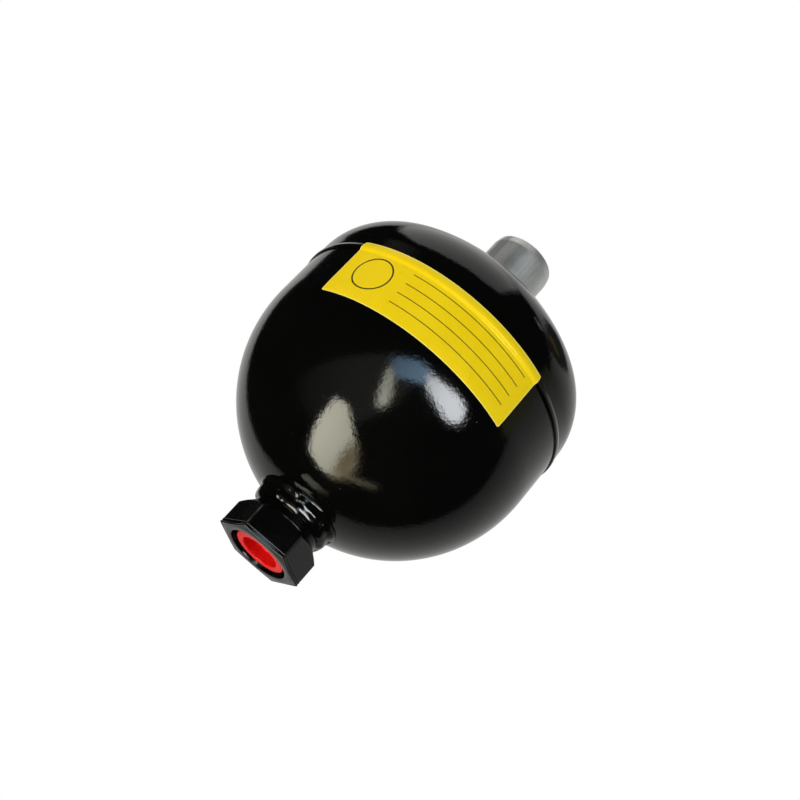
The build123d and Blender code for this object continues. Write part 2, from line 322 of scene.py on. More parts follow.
def gloss_paint(name, orange_peel, peel_size, roughness, grit=0.0):
    """Thick gloss black enamel: orange peel, slow waves in the film, faint dust and hazy patches.

    Where the mesh carries its edge highlight attribute, a grey painted highlight line lightens the paint
    there, broken up by noise.
    """
    deep_black = (0.0009, 0.0009, 0.0009, 1.0)
    hazy_black = (0.0018, 0.0018, 0.0016, 1.0)
    dust_grey = (0.12, 0.11, 0.095, 1.0)
    # grey of the painted highlight line along marked edges
    painted_highlight_grey = (0.085, 0.088, 0.08, 1.0)
    nib_depth = 0.05
    paint = Recipe(name)
    relief = paint.bump(paint.grain(18.0, detail=1.0), orange_peel * 1.6)
    peel = paint.grain(peel_size, detail=2.0, roughness=0.6)
    relief = paint.bump(peel, orange_peel, below=relief)
    if grit:
        relief = paint.bump(paint.grain(0.55, detail=2.0), grit, below=relief)
    nib = paint.ranged(paint.spots(9.0), 0.0, 0.035, 1.0, 0.0, smooth=True)
    relief = paint.bump(nib, nib_depth, below=relief)
    haze = paint.grain(40.0, detail=4.0, roughness=0.6)
    fine_haze = paint.grain(0.7, detail=3.0)
    hazy = paint.ranged(haze, 0.35, 0.75, roughness, roughness * 1.7)
    gloss = paint.maths("MULTIPLY_ADD", fine_haze, 0.035, hazy)
    tone = paint.ranged(haze, 0.3, 0.8, 0.0, 1.0)
    colour = paint.blended(tone, deep_black, hazy_black)
    dusty = paint.ranged(paint.spots(4.3), 0.0, 0.024, 0.4, 0.0, smooth=True)
    colour = paint.blended(dusty, colour, dust_grey)
    # painted highlight: a grey line along the marked edges, broken up by noise
    edge_highlight = paint.add("ShaderNodeAttribute", "Fac", attribute_name="EdgeHighlight")
    highlight_breakup = paint.ranged(paint.grain(1.6, detail=3.0), 0.35, 0.6, 0.1, 1.0)
    colour = paint.blended(paint.maths("MULTIPLY", edge_highlight, highlight_breakup), colour, painted_highlight_grey)
    return paint.surface(Base_Color=colour, Roughness=gloss, Normal=relief, IOR=1.5)


shell_paint = gloss_paint(
    "gloss black enamel", orange_peel=0.045, peel_size=1.9, roughness=0.05, grit=0.007
)
port_paint = gloss_paint(
    "gloss black enamel on the port", orange_peel=0.026, peel_size=1.8, roughness=0.09
)
weld_paint = gloss_paint(
    "gloss black enamel over weld", orange_peel=0.022, peel_size=4.5, roughness=0.09
)


def turned_metal(name, dark, light, roughness, streaks, marks, metallic=1.0):
    """Turned metal: fine marks round the axis, draw streaks along it, mottled tone.

    Metallic is less than one for a dull plated skin, which scatters part of the light.
    """
    metal = Recipe(name)
    along = metal.stretched((1.0, 1.0, 0.03))
    streak = metal.grain(1.6, detail=5.0, roughness=0.65, vector=along)
    height = metal.add("ShaderNodeSeparateXYZ", "Z", {"Vector": metal.place})
    lay = metal.add("ShaderNodeCombineXYZ", inputs={"Z": height})
    mark = metal.grain(0.16, detail=3.0, roughness=0.7, vector=lay)
    mottle = metal.grain(6.0, detail=4.0, roughness=0.6)
    tone = metal.maths("MULTIPLY_ADD", streak, streaks, metal.ranged(mottle, 0.3, 0.7, 0.0, 0.3))
    colour = metal.blended(tone, dark, light)
    dulled = metal.ranged(streak, 0.3, 0.7, roughness, roughness * 1.5)
    rough = metal.maths("MULTIPLY_ADD", metal.grain(0.35, detail=3.0), 0.16, dulled)
    relief = metal.bump(mark, marks)
    relief = metal.bump(streak, marks * 1.5, below=relief)
    return metal.surface(Base_Color=colour, Roughness=rough, Normal=relief, Metallic=metallic)


cap_zinc = turned_metal(
    "zinc plated cap", dark=(0.38, 0.385, 0.36, 1.0), light=(0.86, 0.86, 0.82, 1.0),
    roughness=0.2, streaks=0.8, marks=0.012, metallic=0.74,
)
boss_steel = turned_metal(
    "turned boss steel", dark=(0.30, 0.30, 0.30, 1.0), light=(0.56, 0.55, 0.53, 1.0),
    roughness=0.24, streaks=0.5, marks=0.015,
)
inner_steel = turned_metal(
    "machined steel inside", dark=(0.22, 0.22, 0.225, 1.0), light=(0.45, 0.45, 0.45, 1.0),
    roughness=0.32, streaks=0.4, marks=0.015,
)
pin_steel = turned_metal(
    "bright drawn steel", dark=(0.50, 0.50, 0.50, 1.0), light=(0.74, 0.74, 0.73, 1.0),
    roughness=0.16, streaks=0.3, marks=0.006,
)
valve_brass = turned_metal(
    "turned brass", dark=(0.48, 0.30, 0.09, 1.0), light=(0.78, 0.55, 0.22, 1.0),
    roughness=0.18, streaks=0.5, marks=0.012,
)


def moulded_plastic():
    """Soft red polyethylene with a spark-eroded mould texture and slight flow marks."""
    plastic = Recipe("moulded red polyethylene")
    texture = plastic.grain(0.28, detail=3.0)
    flow = plastic.grain(7.0, detail=2.0, vector=plastic.stretched((1.0, 1.0, 2.5)))
    colour = plastic.blended(flow, (0.58, 0.006, 0.006, 1.0), (0.72, 0.016, 0.014, 1.0))
    rough = plastic.ranged(texture, 0.2, 0.8, 0.34, 0.5)
    relief = plastic.bump(flow, 0.04, below=plastic.bump(texture, 0.012))
    material = plastic.surface(
        Base_Color=colour, Roughness=rough, Normal=relief, IOR=1.5, Subsurface_Weight=0.12,
        Subsurface_Scale=0.0012,
    )
    plastic.shader.inputs["Subsurface Radius"].default_value = (1.0, 0.25, 0.15)
    return material


plug_plastic = moulded_plastic()


def moulded_rubber(name, grain_size, relief_depth):
    """Matt black rubber with a fine bloom."""
    rubber = Recipe(name)
    grain = rubber.grain(grain_size, detail=4.0, roughness=0.6)
    bloom = rubber.grain(9.0, detail=4.0)
    colour = rubber.blended(bloom, (0.012, 0.012, 0.012, 1.0), (0.03, 0.029, 0.027, 1.0))
    rough = rubber.ranged(grain, 0.25, 0.75, 0.5, 0.72)
    relief = rubber.bump(grain, relief_depth)
    return rubber.surface(Base_Color=colour, Roughness=rough, Normal=relief, IOR=1.5)


diaphragm_rubber = moulded_rubber("nitrile diaphragm rubber", grain_size=0.6, relief_depth=0.03)
seal_rubber = moulded_rubber("nitrile seal rubber", grain_size=0.3, relief_depth=0.01)


# Label print, in millimetres along the film (u from its left end) and up it (v from its foot)

label_length = 99.8
label_angle = -93.5
label_height = 30.3
ring_centre = (16.0, 15.15)
ring_radius = 8.6
ring_line = 0.7
rule_start = 31.0
rule_end = 94.0
rule_heights = (23.4, 17.9, 12.4, 6.9)
rule_line = 0.4


def printed_film():
    """Yellow polyester film with a generic blank form: an empty ring and ruled lines."""
    pale_yellow = (0.88, 0.65, 0.0, 1.0)
    deep_yellow = (0.80, 0.56, 0.0, 1.0)
    cut_yellow = (0.95, 0.84, 0.22, 1.0)
    ink_black = (0.018, 0.014, 0.008, 1.0)
    ink_blur = 0.06
    film = Recipe("yellow label film")
    spread = film.add("ShaderNodeUVMap", uv_map="Film")
    split = film.add("ShaderNodeSeparateXYZ", inputs={"Vector": spread}).node
    u = film.maths("MULTIPLY", split.outputs["X"], label_length)
    v = film.maths("MULTIPLY", split.outputs["Y"], label_length)

    def less(value, amount):
        return film.maths("SUBTRACT", value, amount)

    def within(value, half_width):
        """One where value is nearer to nought than half_width, with a hair-soft edge."""
        size = film.maths("ABSOLUTE", value)
        return film.ranged(size, half_width - ink_blur, half_width + ink_blur, 1.0, 0.0, smooth=True)

    def from_edge(value, length):
        """Distance of a place along a length to the nearer end."""
        offset = film.maths("ABSOLUTE", less(value, length / 2))
        return film.maths("SUBTRACT", length / 2, offset)

    offset_u = less(u, ring_centre[0])
    offset_v = less(v, ring_centre[1])
    squares = film.maths("MULTIPLY_ADD", offset_u, offset_u, film.maths("MULTIPLY", offset_v, offset_v))
    distance = film.maths("SQRT", squares)
    ink = within(less(distance, ring_radius), ring_line / 2)
    middle = (rule_start + rule_end) / 2
    in_rules = within(less(u, middle), (rule_end - rule_start) / 2)
    for height in rule_heights:
        rule = film.maths("MULTIPLY", within(less(v, height), rule_line / 2), in_rules)
        ink = film.maths("MAXIMUM", ink, rule)
    nearest = film.maths("MINIMUM", from_edge(u, label_length), from_edge(v, label_height))
    cut = film.ranged(nearest, 0.15, 0.5, 0.75, 0.0, smooth=True)
    patchy = film.ranged(film.grain(0.5, detail=3.0), 0.25, 0.45, 0.8, 1.0)
    ink = film.maths("MULTIPLY", ink, patchy)
    cloud = film.grain(14.0, detail=3.0)
    colour = film.blended(cloud, deep_yellow, pale_yellow)
    colour = film.blended(cut, colour, cut_yellow)
    colour = film.blended(ink, colour, ink_black)
    relief = film.bump(film.grain(9.0, detail=2.0), 0.05)
    relief = film.bump(film.grain(0.45, detail=2.0), 0.003, below=relief)
    relief = film.bump(ink, 0.008, below=relief)
    rough = film.ranged(cloud, 0.3, 0.7, 0.24, 0.34)
    return film.surface(
        Base_Color=colour, Roughness=rough, Normal=relief, IOR=1.48, Specular_IOR_Level=0.25
    )


label_film = printed_film()


# Vessel halves


def sphere_height(radius, at):
    """Height of the fluid half's sphere of that radius, at a distance from the axis."""
    return equator - sqrt(radius**2 - at**2)


def open_angle(radius, hole):
    """Angle in degrees above the level at which a sphere is cut by a hole on the axis."""
    return degrees(atan2(sqrt(radius**2 - hole**2), hole))


def lower_shell():
    """Pressed fluid half with its rebate for bead and clamp ring, open at neck and rim."""
    hole = neck_radius + neck_clearance
    belt_rows = 8
    belt_step = 2.2
    rim_rounding = 0.25
    outline = arc((0, equator), shell_radius, -open_angle(shell_radius, hole), 0, 96)
    outline += [(shell_radius, equator + row * belt_step) for row in range(1, belt_rows + 1)]
    outline += rounded([
        (shell_radius, seam - seam_groove, rim_rounding), (shell_radius - seam_groove, seam, 0),
        (ledge_radius, seam, 0), (ledge_radius, ledge, 0), (inner_radius, ledge, 0),
    ])
    outline += arc((0, equator), inner_radius, 0, -open_angle(inner_radius, hole), 60)
    piece = turned("lower_shell", outline, shell_paint, around=288)
    return belongs(weighted_normals(piece), "vessel", "shell_paint", "fluid_shell")


def gas_arcs(inset):
    """Knuckle and crown arcs of the gas half, from the straight belt up to the boss's hole."""
    end = open_angle(crown_radius - inset, boss_tail_radius + neck_clearance)
    knuckle = arc((knuckle_offset, knuckle_start), knuckle_radius - inset, 0, knuckle_turn, 40)
    crown = arc((0, crown_centre), crown_radius - inset, knuckle_turn, end, 56)
    return knuckle + crown[1:]


def upper_shell():
    """Pressed gas half, whose edge stands proud of the belt as a narrow rounded lip."""
    lip = rounded([
        (inner_radius, seam, 0), (lip_radius, seam, 0.5), (lip_radius, lip_top, 0.8),
        (shell_radius + lip_taper_step, lip_foot_of_taper, 1.2), (shell_radius, knuckle_start, 0),
    ])
    outline = lip[:-1] + gas_arcs(0) + gas_arcs(wall)[::-1]
    piece = turned("upper_shell", outline, shell_paint, around=288)
    return belongs(weighted_normals(piece), "vessel", "shell_paint", "gas_shell")


def seam_bead():
    """Narrow weld in the groove under the lip, with the ripple of its run."""
    around = 720
    ripple_count = 180
    ripple_height = 0.05
    stray = 0.08
    root = 69.1
    face = 69.72

    def section(angle):
        ripple = ripple_height * abs(sin(angle * ripple_count / 2))
        wander = stray * noise.noise(Vector((cos(angle), sin(angle), 0.3)) * 9)
        outer = face + ripple + wander
        return [
            (root, seam), (outer, seam), (outer, seam - 0.1), (face - 0.1, seam - 0.47),
            (root + 0.2, seam - 0.18),
        ]

    piece = finished_mesh("seam_bead", turned_mesh("seam_bead", section, around), weld_paint)
    return belongs(piece, "vessel", "weld_paint", "seam_weld")


lower_shell()
upper_shell()
seam_bead()


# Port hexagon


def angle_from_flat(angle):
    """Signed angle from the middle of the nearest flat, 30 degrees at a corner, in radians."""
    return (angle + pi / 2 + pi / 6) % (pi / 3) - pi / 6


def hex_reach(angle):
    """Distance from the axis to the hexagon's side, with its upright corners slightly rounded."""
    from_flat = angle_from_flat(angle)
    from_corner = pi / 6 - abs(from_flat)
    flat_reach = hex_to_flat / cos(from_flat)
    round_centre = (hex_to_flat - hex_corner_rounding) / cos(pi / 6)
    aside = round_centre * sin(from_corner)
    if aside >= hex_corner_rounding * sin(pi / 6):
        return flat_reach
    round_reach = round_centre * cos(from_corner) + sqrt(hex_corner_rounding**2 - aside**2)
    return min(flat_reach, round_reach)


def front_rounding(reach):
    """Rounding of the front edge: larger on the flats than at the corners."""
    return hex_front_rounding - hex_rounding_fall * (reach - hex_to_flat)


def rolled_in(reach, depth):
    """How far a flat rolls in near the front edge; nothing at the corners."""
    flatness = (hex_to_corner - reach) / (hex_to_corner - hex_to_flat)
    return hex_roll * flatness * max(0.0, 1 - depth / rolled_band)


def chamfered_end(reach, circle, rounding, slope):
    """Points (radius, depth) from an end face over its chamfer onto the side, edges rounded.

    Depth is measured from the end face into the bar. The chamfer is lost where the side lies
    inside the circle that it starts from.
    """
    face_x = circle - rounding * (1 - cos(slope)) / sin(slope)
    side_x = reach - rounding
    normals = [-pi / 2, -pi / 2 + slope, 0.0]
    steps = 4
    if side_x > face_x:
        joint_depth = ((side_x - circle) * sin(slope) + rounding) / cos(slope)
        centres = [(face_x, rounding), (side_x, joint_depth)]
    else:
        centres = [(side_x, rounding), (side_x, rounding)]
    points = []
    for (x, depth), start, end in zip(centres, normals[:-1], normals[1:]):
        for step in range(steps + 1):
            angle = start + (end - start) * step / steps
            points.append((x + rounding * cos(angle), depth + rounding * sin(angle)))
    return points


def painted_edge_highlights(piece):
    """Marks the hexagon's upright corners for a grey painted highlight line, stronger where X is negative.
    """
    highlight_width = 0.35
    weaker_side_strength = 0.35
    edge_highlight = piece.data.attributes.new("EdgeHighlight", "FLOAT", "POINT")
    for vertex, value in zip(piece.data.vertices, edge_highlight.data):
        x, y = vertex.co.xy / MM
        from_corner = (pi / 6 - abs(angle_from_flat(atan2(y, x)))) * hex_to_corner
        # painted highlight: full strength where X is negative, weaker where it is positive
        highlight_strength = 1.0 if x < 0 else weaker_side_strength
        outside = sqrt(x * x + y * y) > hex_to_flat
        value.value = highlight_strength * exp(-((from_corner / highlight_width) ** 2)) if outside else 0.0


def port_hexagon():
    """Port fitting: hexagon with rounded edges, bore, thread wall, oil passage and neck."""
    front_slope = radians(hex_front_angle)
    back_slope = radians(hex_back_angle)
    side_shares = (0.0, 0.12, 0.3, 0.5, 0.7, 0.88)
    bore = [
        (neck_radius, hex_length + 0.1), (neck_radius, hex_length + 4),
        (neck_radius, sphere_height(inner_radius, neck_radius)),
        (button_recess_radius, sphere_height(inner_radius, button_recess_radius)),
        (button_recess_radius, button_seat), (passage_radius, button_seat),
        (passage_radius, port_thread_end + passage_cone), (port_thread_radius, port_thread_end),
        (port_thread_radius, lead_in_depth), (lead_in_radius, lead_in_depth), (lead_in_radius, 4.0),
    ]
    opened_mouth = [
        (lead_in_radius, mouth_taper_end), (mouth_radius - 0.12, mouth_depth),
        (mouth_radius - 0.1, 0.3), (mouth_radius - 0.02, 0.08), (mouth_radius + 0.15, 0.0),
        (mouth_radius + 1.2, 0.0), (hex_front_circle - 0.3, 0.0),
    ]

    def section(angle):
        reach = hex_reach(angle)
        front = chamfered_end(reach, hex_front_circle, front_rounding(reach), front_slope)
        back = chamfered_end(reach, hex_back_circle, hex_back_rounding, back_slope)
        side_length = hex_length - back[-1][1] - rolled_band
        outline = [(x - rolled_in(reach, depth), depth) for x, depth in front]
        outline += [(reach, rolled_band + side_length * share) for share in side_shares]
        outline += [(x, hex_length - depth) for x, depth in back[::-1]]
        return outline + bore + opened_mouth

    mesh = turned_mesh("port_hexagon", section, around=360)
    piece = finished_mesh("port_hexagon", mesh, port_paint, sharp_angle=40)
    # lays the painted highlight lines along the hexagon's upright corners
    painted_edge_highlights(piece)
    return belongs(weighted_normals(piece), "vessel", "port_paint", "port_fitting")


port_hexagon()


# Pieces that Geometry Nodes make


class Growth:
    """Geometry Nodes tree: each method adds a node and gives its output socket."""

    def __init__(self, name, inputs):
        self.tree = bpy.data.node_groups.new(name, "GeometryNodeTree")
        self.tree.interface.new_socket("Geometry", in_out="OUTPUT", socket_type="NodeSocketGeometry")
        self.sockets = {}
        for label, kind in inputs.items():
            made = self.tree.interface.new_socket(label, in_out="INPUT", socket_type="NodeSocket" + kind)
            self.sockets[label] = made.identifier
        self.entry = self.tree.nodes.new("NodeGroupInput")

    def size(self, label):
        return self.entry.outputs[label]

    def add(self, kind, output=0, inputs=None, **settings):
        return add_node(self.tree, kind, output, inputs, **settings)

    def maths(self, operation, first, second=0.0):
        return self.add("ShaderNodeMath", inputs={0: first, 1: second}, operation=operation)

    def end(self, geometry):
        """Ends the tree in Realize Instances and Set Material."""
        real = self.add("GeometryNodeRealizeInstances", inputs={"Geometry": geometry})
        dressed = self.add("GeometryNodeSetMaterial", inputs={
            "Geometry": real, "Material": self.size("Material"),
        })
        exit_node = self.tree.nodes.new("NodeGroupOutput")
        self.tree.links.new(dressed, exit_node.inputs["Geometry"])
        return self


def grown(name, growth, values, material, sharp_angle=35.0, path=()):
    """Plain mesh piece that a tree gives for these values, along a closed path if one is given."""
    base = bpy.data.meshes.new(name + "_carrier")
    base.from_pydata(path, [(step, (step + 1) % len(path)) for step in range(len(path))], [])
    carrier = bpy.data.objects.new(name + "_carrier", base)
    bpy.context.scene.collection.objects.link(carrier)
    modifier = carrier.modifiers.new("Growth", "NODES")
    modifier.node_group = growth.tree
    for label, value in {**values, "Material": material}.items():
        modifier[growth.sockets[label]] = value
    bpy.context.view_layer.update()
    evaluated = carrier.evaluated_get(bpy.context.evaluated_depsgraph_get())
    mesh = bpy.data.meshes.new_from_object(evaluated)
    mesh.name = name
    bpy.data.objects.remove(carrier)
    return finished_mesh(name, mesh, material, sharp_angle)


def helix_tree():
    """Bar of a regular section wound along a helix about Z, with closed ends."""
    growth = Growth("Helix", {
        "Mean radius": "Float", "Pitch": "Float", "Turns": "Float", "Start": "Float",
        "Section radius": "Float", "Section sides": "Int", "Steps": "Int", "Material": "Material",
    })
    length = growth.maths("MULTIPLY", growth.size("Pitch"), growth.size("Turns"))
    path = growth.add("GeometryNodeCurveSpiral", inputs={
        "Resolution": growth.size("Steps"), "Rotations": growth.size("Turns"),
        "Start Radius": growth.size("Mean radius"), "End Radius": growth.size("Mean radius"),
        "Height": length,
    })
    path = growth.add("GeometryNodeSetCurveNormal", inputs={"Curve": path}, mode="Z_UP")
    section = growth.add("GeometryNodeCurvePrimitiveCircle", inputs={
        "Resolution": growth.size("Section sides"), "Radius": growth.size("Section radius"),
    })
    bar = growth.add("GeometryNodeCurveToMesh", inputs={
        "Curve": path, "Profile Curve": section, "Fill Caps": True,
    })
    lift = growth.add("ShaderNodeCombineXYZ", inputs={"Z": growth.size("Start")})
    placed = growth.add("GeometryNodeTransform", inputs={"Geometry": bar, "Translation": lift})
    return growth.end(placed)


helix = helix_tree()


def wound(name, material, mean_radius, pitch, turns, start, section_radius, sides=4, steps=96):
    """Bar wound in a helix from the height start upward; its section has that many sides."""
    return grown(name, helix, {
        "Mean radius": mean_radius * MM, "Pitch": pitch * MM, "Turns": turns, "Start": start * MM,
        "Section radius": section_radius * MM, "Section sides": sides, "Steps": steps,
    }, material)


port_thread = wound(
    "port_thread", port_paint, mean_radius=13.25, pitch=1.814, turns=5.4, start=9.3,
    section_radius=1.16,
)
belongs(port_thread, "vessel", "port_paint")
boss_thread = wound(
    "boss_thread", boss_steel, mean_radius=boss_thread_root, pitch=1.5, turns=4.6,
    start=boss_shoulder + 0.9, section_radius=0.9,
)
belongs(boss_thread, "vessel", "boss_steel")

spring_wire = 0.22
spring_turns = 6.0
spring_low, spring_high = (corner.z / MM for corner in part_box("valve_spring"))
spring_foot = spring_low + spring_wire
spring_length = spring_high - spring_low - 2 * spring_wire
valve_coil = wound(
    "valve_coil", pin_steel, mean_radius=1.2, pitch=spring_length / spring_turns,
    turns=spring_turns, start=spring_foot, section_radius=spring_wire, sides=12, steps=48,
)
belongs(valve_coil, "vessel", "pin_steel", "valve_spring")
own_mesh(valve_coil)


# Paint gathered in a bead along the hexagon's edges


def run_tree():
    """Round bead along the carrier's closed path, swelling and thinning as it goes."""
    growth = Growth("Paint run", {
        "Base": "Geometry", "Radius": "Float", "Least": "Float", "Swell size": "Float",
        "Material": "Material",
    })
    path = growth.add("GeometryNodeMeshToCurve", inputs={"Mesh": growth.size("Base")})
    fineness = growth.maths("DIVIDE", 1.0, growth.size("Swell size"))
    swell = growth.add("ShaderNodeTexNoise", "Fac", {"Scale": fineness, "Detail": 1.0})
    share = growth.add("ShaderNodeMapRange", "Result", {
        "Value": swell, "From Min": 0.3, "From Max": 0.7, "To Min": growth.size("Least"), "To Max": 1.0,
    })
    section = growth.add("GeometryNodeCurvePrimitiveCircle", inputs={
        "Resolution": 12, "Radius": growth.size("Radius"),
    })
    swollen = growth.add("GeometryNodeSetCurveRadius", inputs={"Curve": path, "Radius": share})
    bar = growth.add("GeometryNodeCurveToMesh", inputs={"Curve": swollen, "Profile Curve": section})
    return growth.end(bar)


def paint_runs():
    """Beads along both sides of the rounded front edge and round the rim of the back face."""
    steps = 720
    slope = tan(radians(hex_front_angle))
    side_depth = 0.22
    face_shift = 0.07
    face_drop = 0.05
    back_depth = 0.3
    back_radius = hex_back_circle + back_depth
    paths = {"side_run": [], "face_run": [], "back_run": []}
    for step in range(steps):
        angle = 2 * pi * step / steps
        reach = hex_reach(angle)
        rounding = front_rounding(reach)
        face_edge = reach - rounding
        rise = (face_edge - hex_front_circle) * slope
        face_radius = face_edge - rolled_in(reach, rounding) + face_shift
        face_height = rise + rounding - face_drop
        paths["side_run"].append(round_axis(angle, reach - side_depth, rolled_band))
        paths["face_run"].append(round_axis(angle, face_radius, face_height))
        paths["back_run"].append(round_axis(angle, back_radius, hex_length - back_depth))
    run = run_tree()
    radii = {"side_run": 0.34, "face_run": 0.44, "back_run": 0.46}
    least = {"side_run": 0.8, "face_run": 0.6, "back_run": 0.7}
    for name, path in paths.items():
        piece = grown(name, run, {
            "Radius": radii[name] * MM, "Least": least[name], "Swell size": 1.6 * MM,
        }, port_paint, sharp_angle=180, path=path)
        belongs(piece, "vessel", "port_paint")


paint_runs()


# Weld ring between neck and dome


def weld_tree():
    """Two courses of weld puddles on plain hoops, melted into one thick lumpy bead."""
    growth = Growth("Weld puddles", {
        "Foot radius": "Float", "Foot height": "Float", "Foot bead": "Float",
        "Toe radius": "Float", "Toe height": "Float", "Toe bead": "Float",
        "Count": "Int", "Wander": "Float", "Seed": "Int", "Voxel": "Float", "Smoothing": "Int",
        "Sag size": "Float", "Sag depth": "Float", "Material": "Material",
    })

    def circle(radius, steps):
        return growth.add("GeometryNodeCurvePrimitiveCircle", inputs={
            "Resolution": steps, "Radius": growth.size(radius),
        })

    def raised(geometry, height):
        lift = growth.add("ShaderNodeCombineXYZ", inputs={"Z": growth.size(height)})
        return growth.add("GeometryNodeTransform", inputs={"Geometry": geometry, "Translation": lift})

    def hoop(course):
        """Plain torus under one course."""
        bar = growth.add("GeometryNodeCurveToMesh", inputs={
            "Curve": circle(course + " radius", 96), "Profile Curve": circle(course + " bead", 24),
        })
        return raised(bar, course + " height")

    def puddles(course, turn, least, most):
        """Blobs drawn out along the run, strayed from their places and of uneven size."""
        points = growth.add("GeometryNodeCurveToPoints", inputs={
            "Curve": circle(course + " radius", 96), "Count": growth.size("Count"),
        })
        low = growth.maths("MULTIPLY", growth.size("Wander"), -1.0)
        seed = growth.maths("ADD", growth.size("Seed"), turn)
        wander = growth.add("FunctionNodeRandomValue", "Value", {
            "Min": low, "Max": growth.size("Wander"), "Seed": seed,
        }, data_type="FLOAT_VECTOR")
        strayed = growth.add("GeometryNodeSetPosition", inputs={"Geometry": points, "Offset": wander})
        blob = growth.add("GeometryNodeMeshIcoSphere", inputs={
            "Radius": growth.size(course + " bead"), "Subdivisions": 4,
        })
        spread = growth.add("FunctionNodeRandomValue", "Value", {
            "Min": least, "Max": most, "Seed": seed,
        }, data_type="FLOAT_VECTOR")
        laid = growth.add("GeometryNodeInstanceOnPoints", inputs={
            "Points": strayed, "Instance": blob, "Rotation": points.node.outputs["Rotation"],
            "Scale": spread,
        })
        turned_on = growth.add("GeometryNodeTransform", inputs={"Geometry": laid, "Rotation": (0, 0, turn)})
        return raised(turned_on, course + " height")

    joined = growth.add("GeometryNodeJoinGeometry")
    courses = (
        hoop("Foot"), hoop("Toe"),
        puddles("Foot", turn=0.4, least=(0.95, 0.95, 1.0), most=(1.2, 1.2, 1.5)),
        puddles("Toe", turn=2.1, least=(0.95, 0.95, 1.4), most=(1.2, 1.2, 2.2)),
    )
    for course in courses:
        growth.tree.links.new(course, joined.node.inputs["Geometry"])
    real = growth.add("GeometryNodeRealizeInstances", inputs={"Geometry": joined})
    volume = growth.add("GeometryNodeMeshToVolume", inputs={
        "Mesh": real, "Voxel Size": growth.size("Voxel"),
    }, resolution_mode="VOXEL_SIZE")
    melted = growth.add("GeometryNodeVolumeToMesh", inputs={
        "Volume": volume, "Voxel Size": growth.size("Voxel"), "Threshold": 0.1,
    }, resolution_mode="VOXEL_SIZE")
    position = growth.add("GeometryNodeInputPosition")
    evened = growth.add("GeometryNodeBlurAttribute", inputs={
        "Value": position, "Iterations": growth.size("Smoothing"),
    }, data_type="FLOAT_VECTOR")
    flowed = growth.add("GeometryNodeSetPosition", inputs={"Geometry": melted, "Position": evened})
    fineness = growth.maths("DIVIDE", 1.0, growth.size("Sag size"))
    sag = growth.add("ShaderNodeTexNoise", "Fac", {"Vector": position, "Scale": fineness, "Detail": 1.0})
    depth = growth.maths("MULTIPLY", growth.maths("SUBTRACT", sag, 0.5), growth.size("Sag depth"))
    normal = growth.add("GeometryNodeInputNormal")
    outward = growth.add("ShaderNodeVectorMath", inputs={0: normal, "Scale": depth}, operation="SCALE")
    sagged = growth.add("GeometryNodeSetPosition", inputs={"Geometry": flowed, "Offset": outward})
    return growth.end(sagged)


def weld_ring():
    """Thick weld between neck and dome, made of two courses that have run together."""
    piece = grown("weld_ring", weld_tree(), {
        "Foot radius": weld_ring_radius * MM, "Foot height": 21.0 * MM, "Foot bead": 3.8 * MM,
        "Toe radius": 18.3 * MM, "Toe height": 26.0 * MM, "Toe bead": 2.7 * MM, "Count": 10,
        "Wander": 0.5 * MM, "Seed": 7, "Voxel": 0.35 * MM, "Smoothing": 90, "Sag size": 7.0 * MM,
        "Sag depth": 0.9 * MM,
    }, weld_paint, sharp_angle=180)
    return belongs(piece, "vessel", "weld_paint", "port_weld")


weld_ring()


# Port plug


def plug_cup():
    """Push-in plug: a shallow cup with two sealing lips."""
    low, high = (corner.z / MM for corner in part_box("port_plug"))
    radius = 12.3
    seal_radius = 13.45
    seal_edge = 0.15
    recess = 8.7
    floor = high - 1.4
    dish = floor - 0.15
    gate_radius = 1.2
    gate_foot = 1.6
    outline = rounded([
        (gate_radius, floor, 0), (gate_foot, dish, 0.1), (recess - 0.9, dish, 0),
        (recess, dish, 0.8), (recess + 0.12, low, 0.55), (radius, low, 0.6),
        (radius, high - 3.4, 0.2), (seal_radius, high - 2.9, seal_edge),
        (seal_radius, high - 2.4, seal_edge), (radius, high - 2.3, 0.1), (radius, high - 1.0, 0.1),
        (seal_radius, high - 0.5, seal_edge), (seal_radius, high, seal_edge), (0.0, high, 0),
        (0.0, floor, 0),
    ])
    piece = turned("plug_cup", outline, plug_plastic, around=192)
    return belongs(weighted_normals(piece), "plug", "plug_plastic", "port_plug")


plug_cup()


# Gas boss and protective cap


def threaded_boss():
    """Boss with its thread's root turned down, so that the wound thread stands on it."""
    root = boss_thread_root
    outline = rounded([
        (gas_hole_radius, boss_tail, 0), (boss_tail_radius, boss_tail, 0.3),
        (boss_tail_radius, boss_shoulder, 0), (boss_radius, boss_shoulder, 0.05),
        (boss_radius, boss_shoulder + 0.4, 0), (root, boss_shoulder + 0.9, 0),
        (root, boss_top - 0.2, 0.1), (root - 0.2, boss_top, 0.1),
        (shank_bore_radius + countersink, boss_top, 0),
        (shank_bore_radius, boss_top - countersink, 0), (shank_bore_radius, shank_bore_floor, 0),
        (gas_hole_radius, shank_bore_floor, 0),
    ])
    piece = turned("threaded_boss", outline, boss_steel, around=160)
    return belongs(weighted_normals(piece), "vessel", "boss_steel", "gas_boss")


def screw_cap():
    """Protective cap whose closed end draws in a little and is rounded, with a threaded skirt."""
    outline = rounded([
        (cap_bore_radius, cap_foot, 0.3), (cap_radius, cap_foot, 0.4),
        (cap_radius, cap_top - cap_end_height, 5.0), (cap_radius - cap_draw_in, cap_top, 1.1),
        (0.0, cap_top, 0), (0.0, cap_roof, 0), (cap_cavity_radius, cap_roof, 0.5),
        (cap_cavity_radius, cap_thread_top, 0), (cap_bore_radius, cap_thread_top, 0),
    ], steps=6)
    piece = turned("screw_cap", outline, cap_zinc, around=224)
    return belongs(weighted_normals(piece), "cap", "cap_zinc", "protective_cap")


threaded_boss()
screw_cap()


# Label


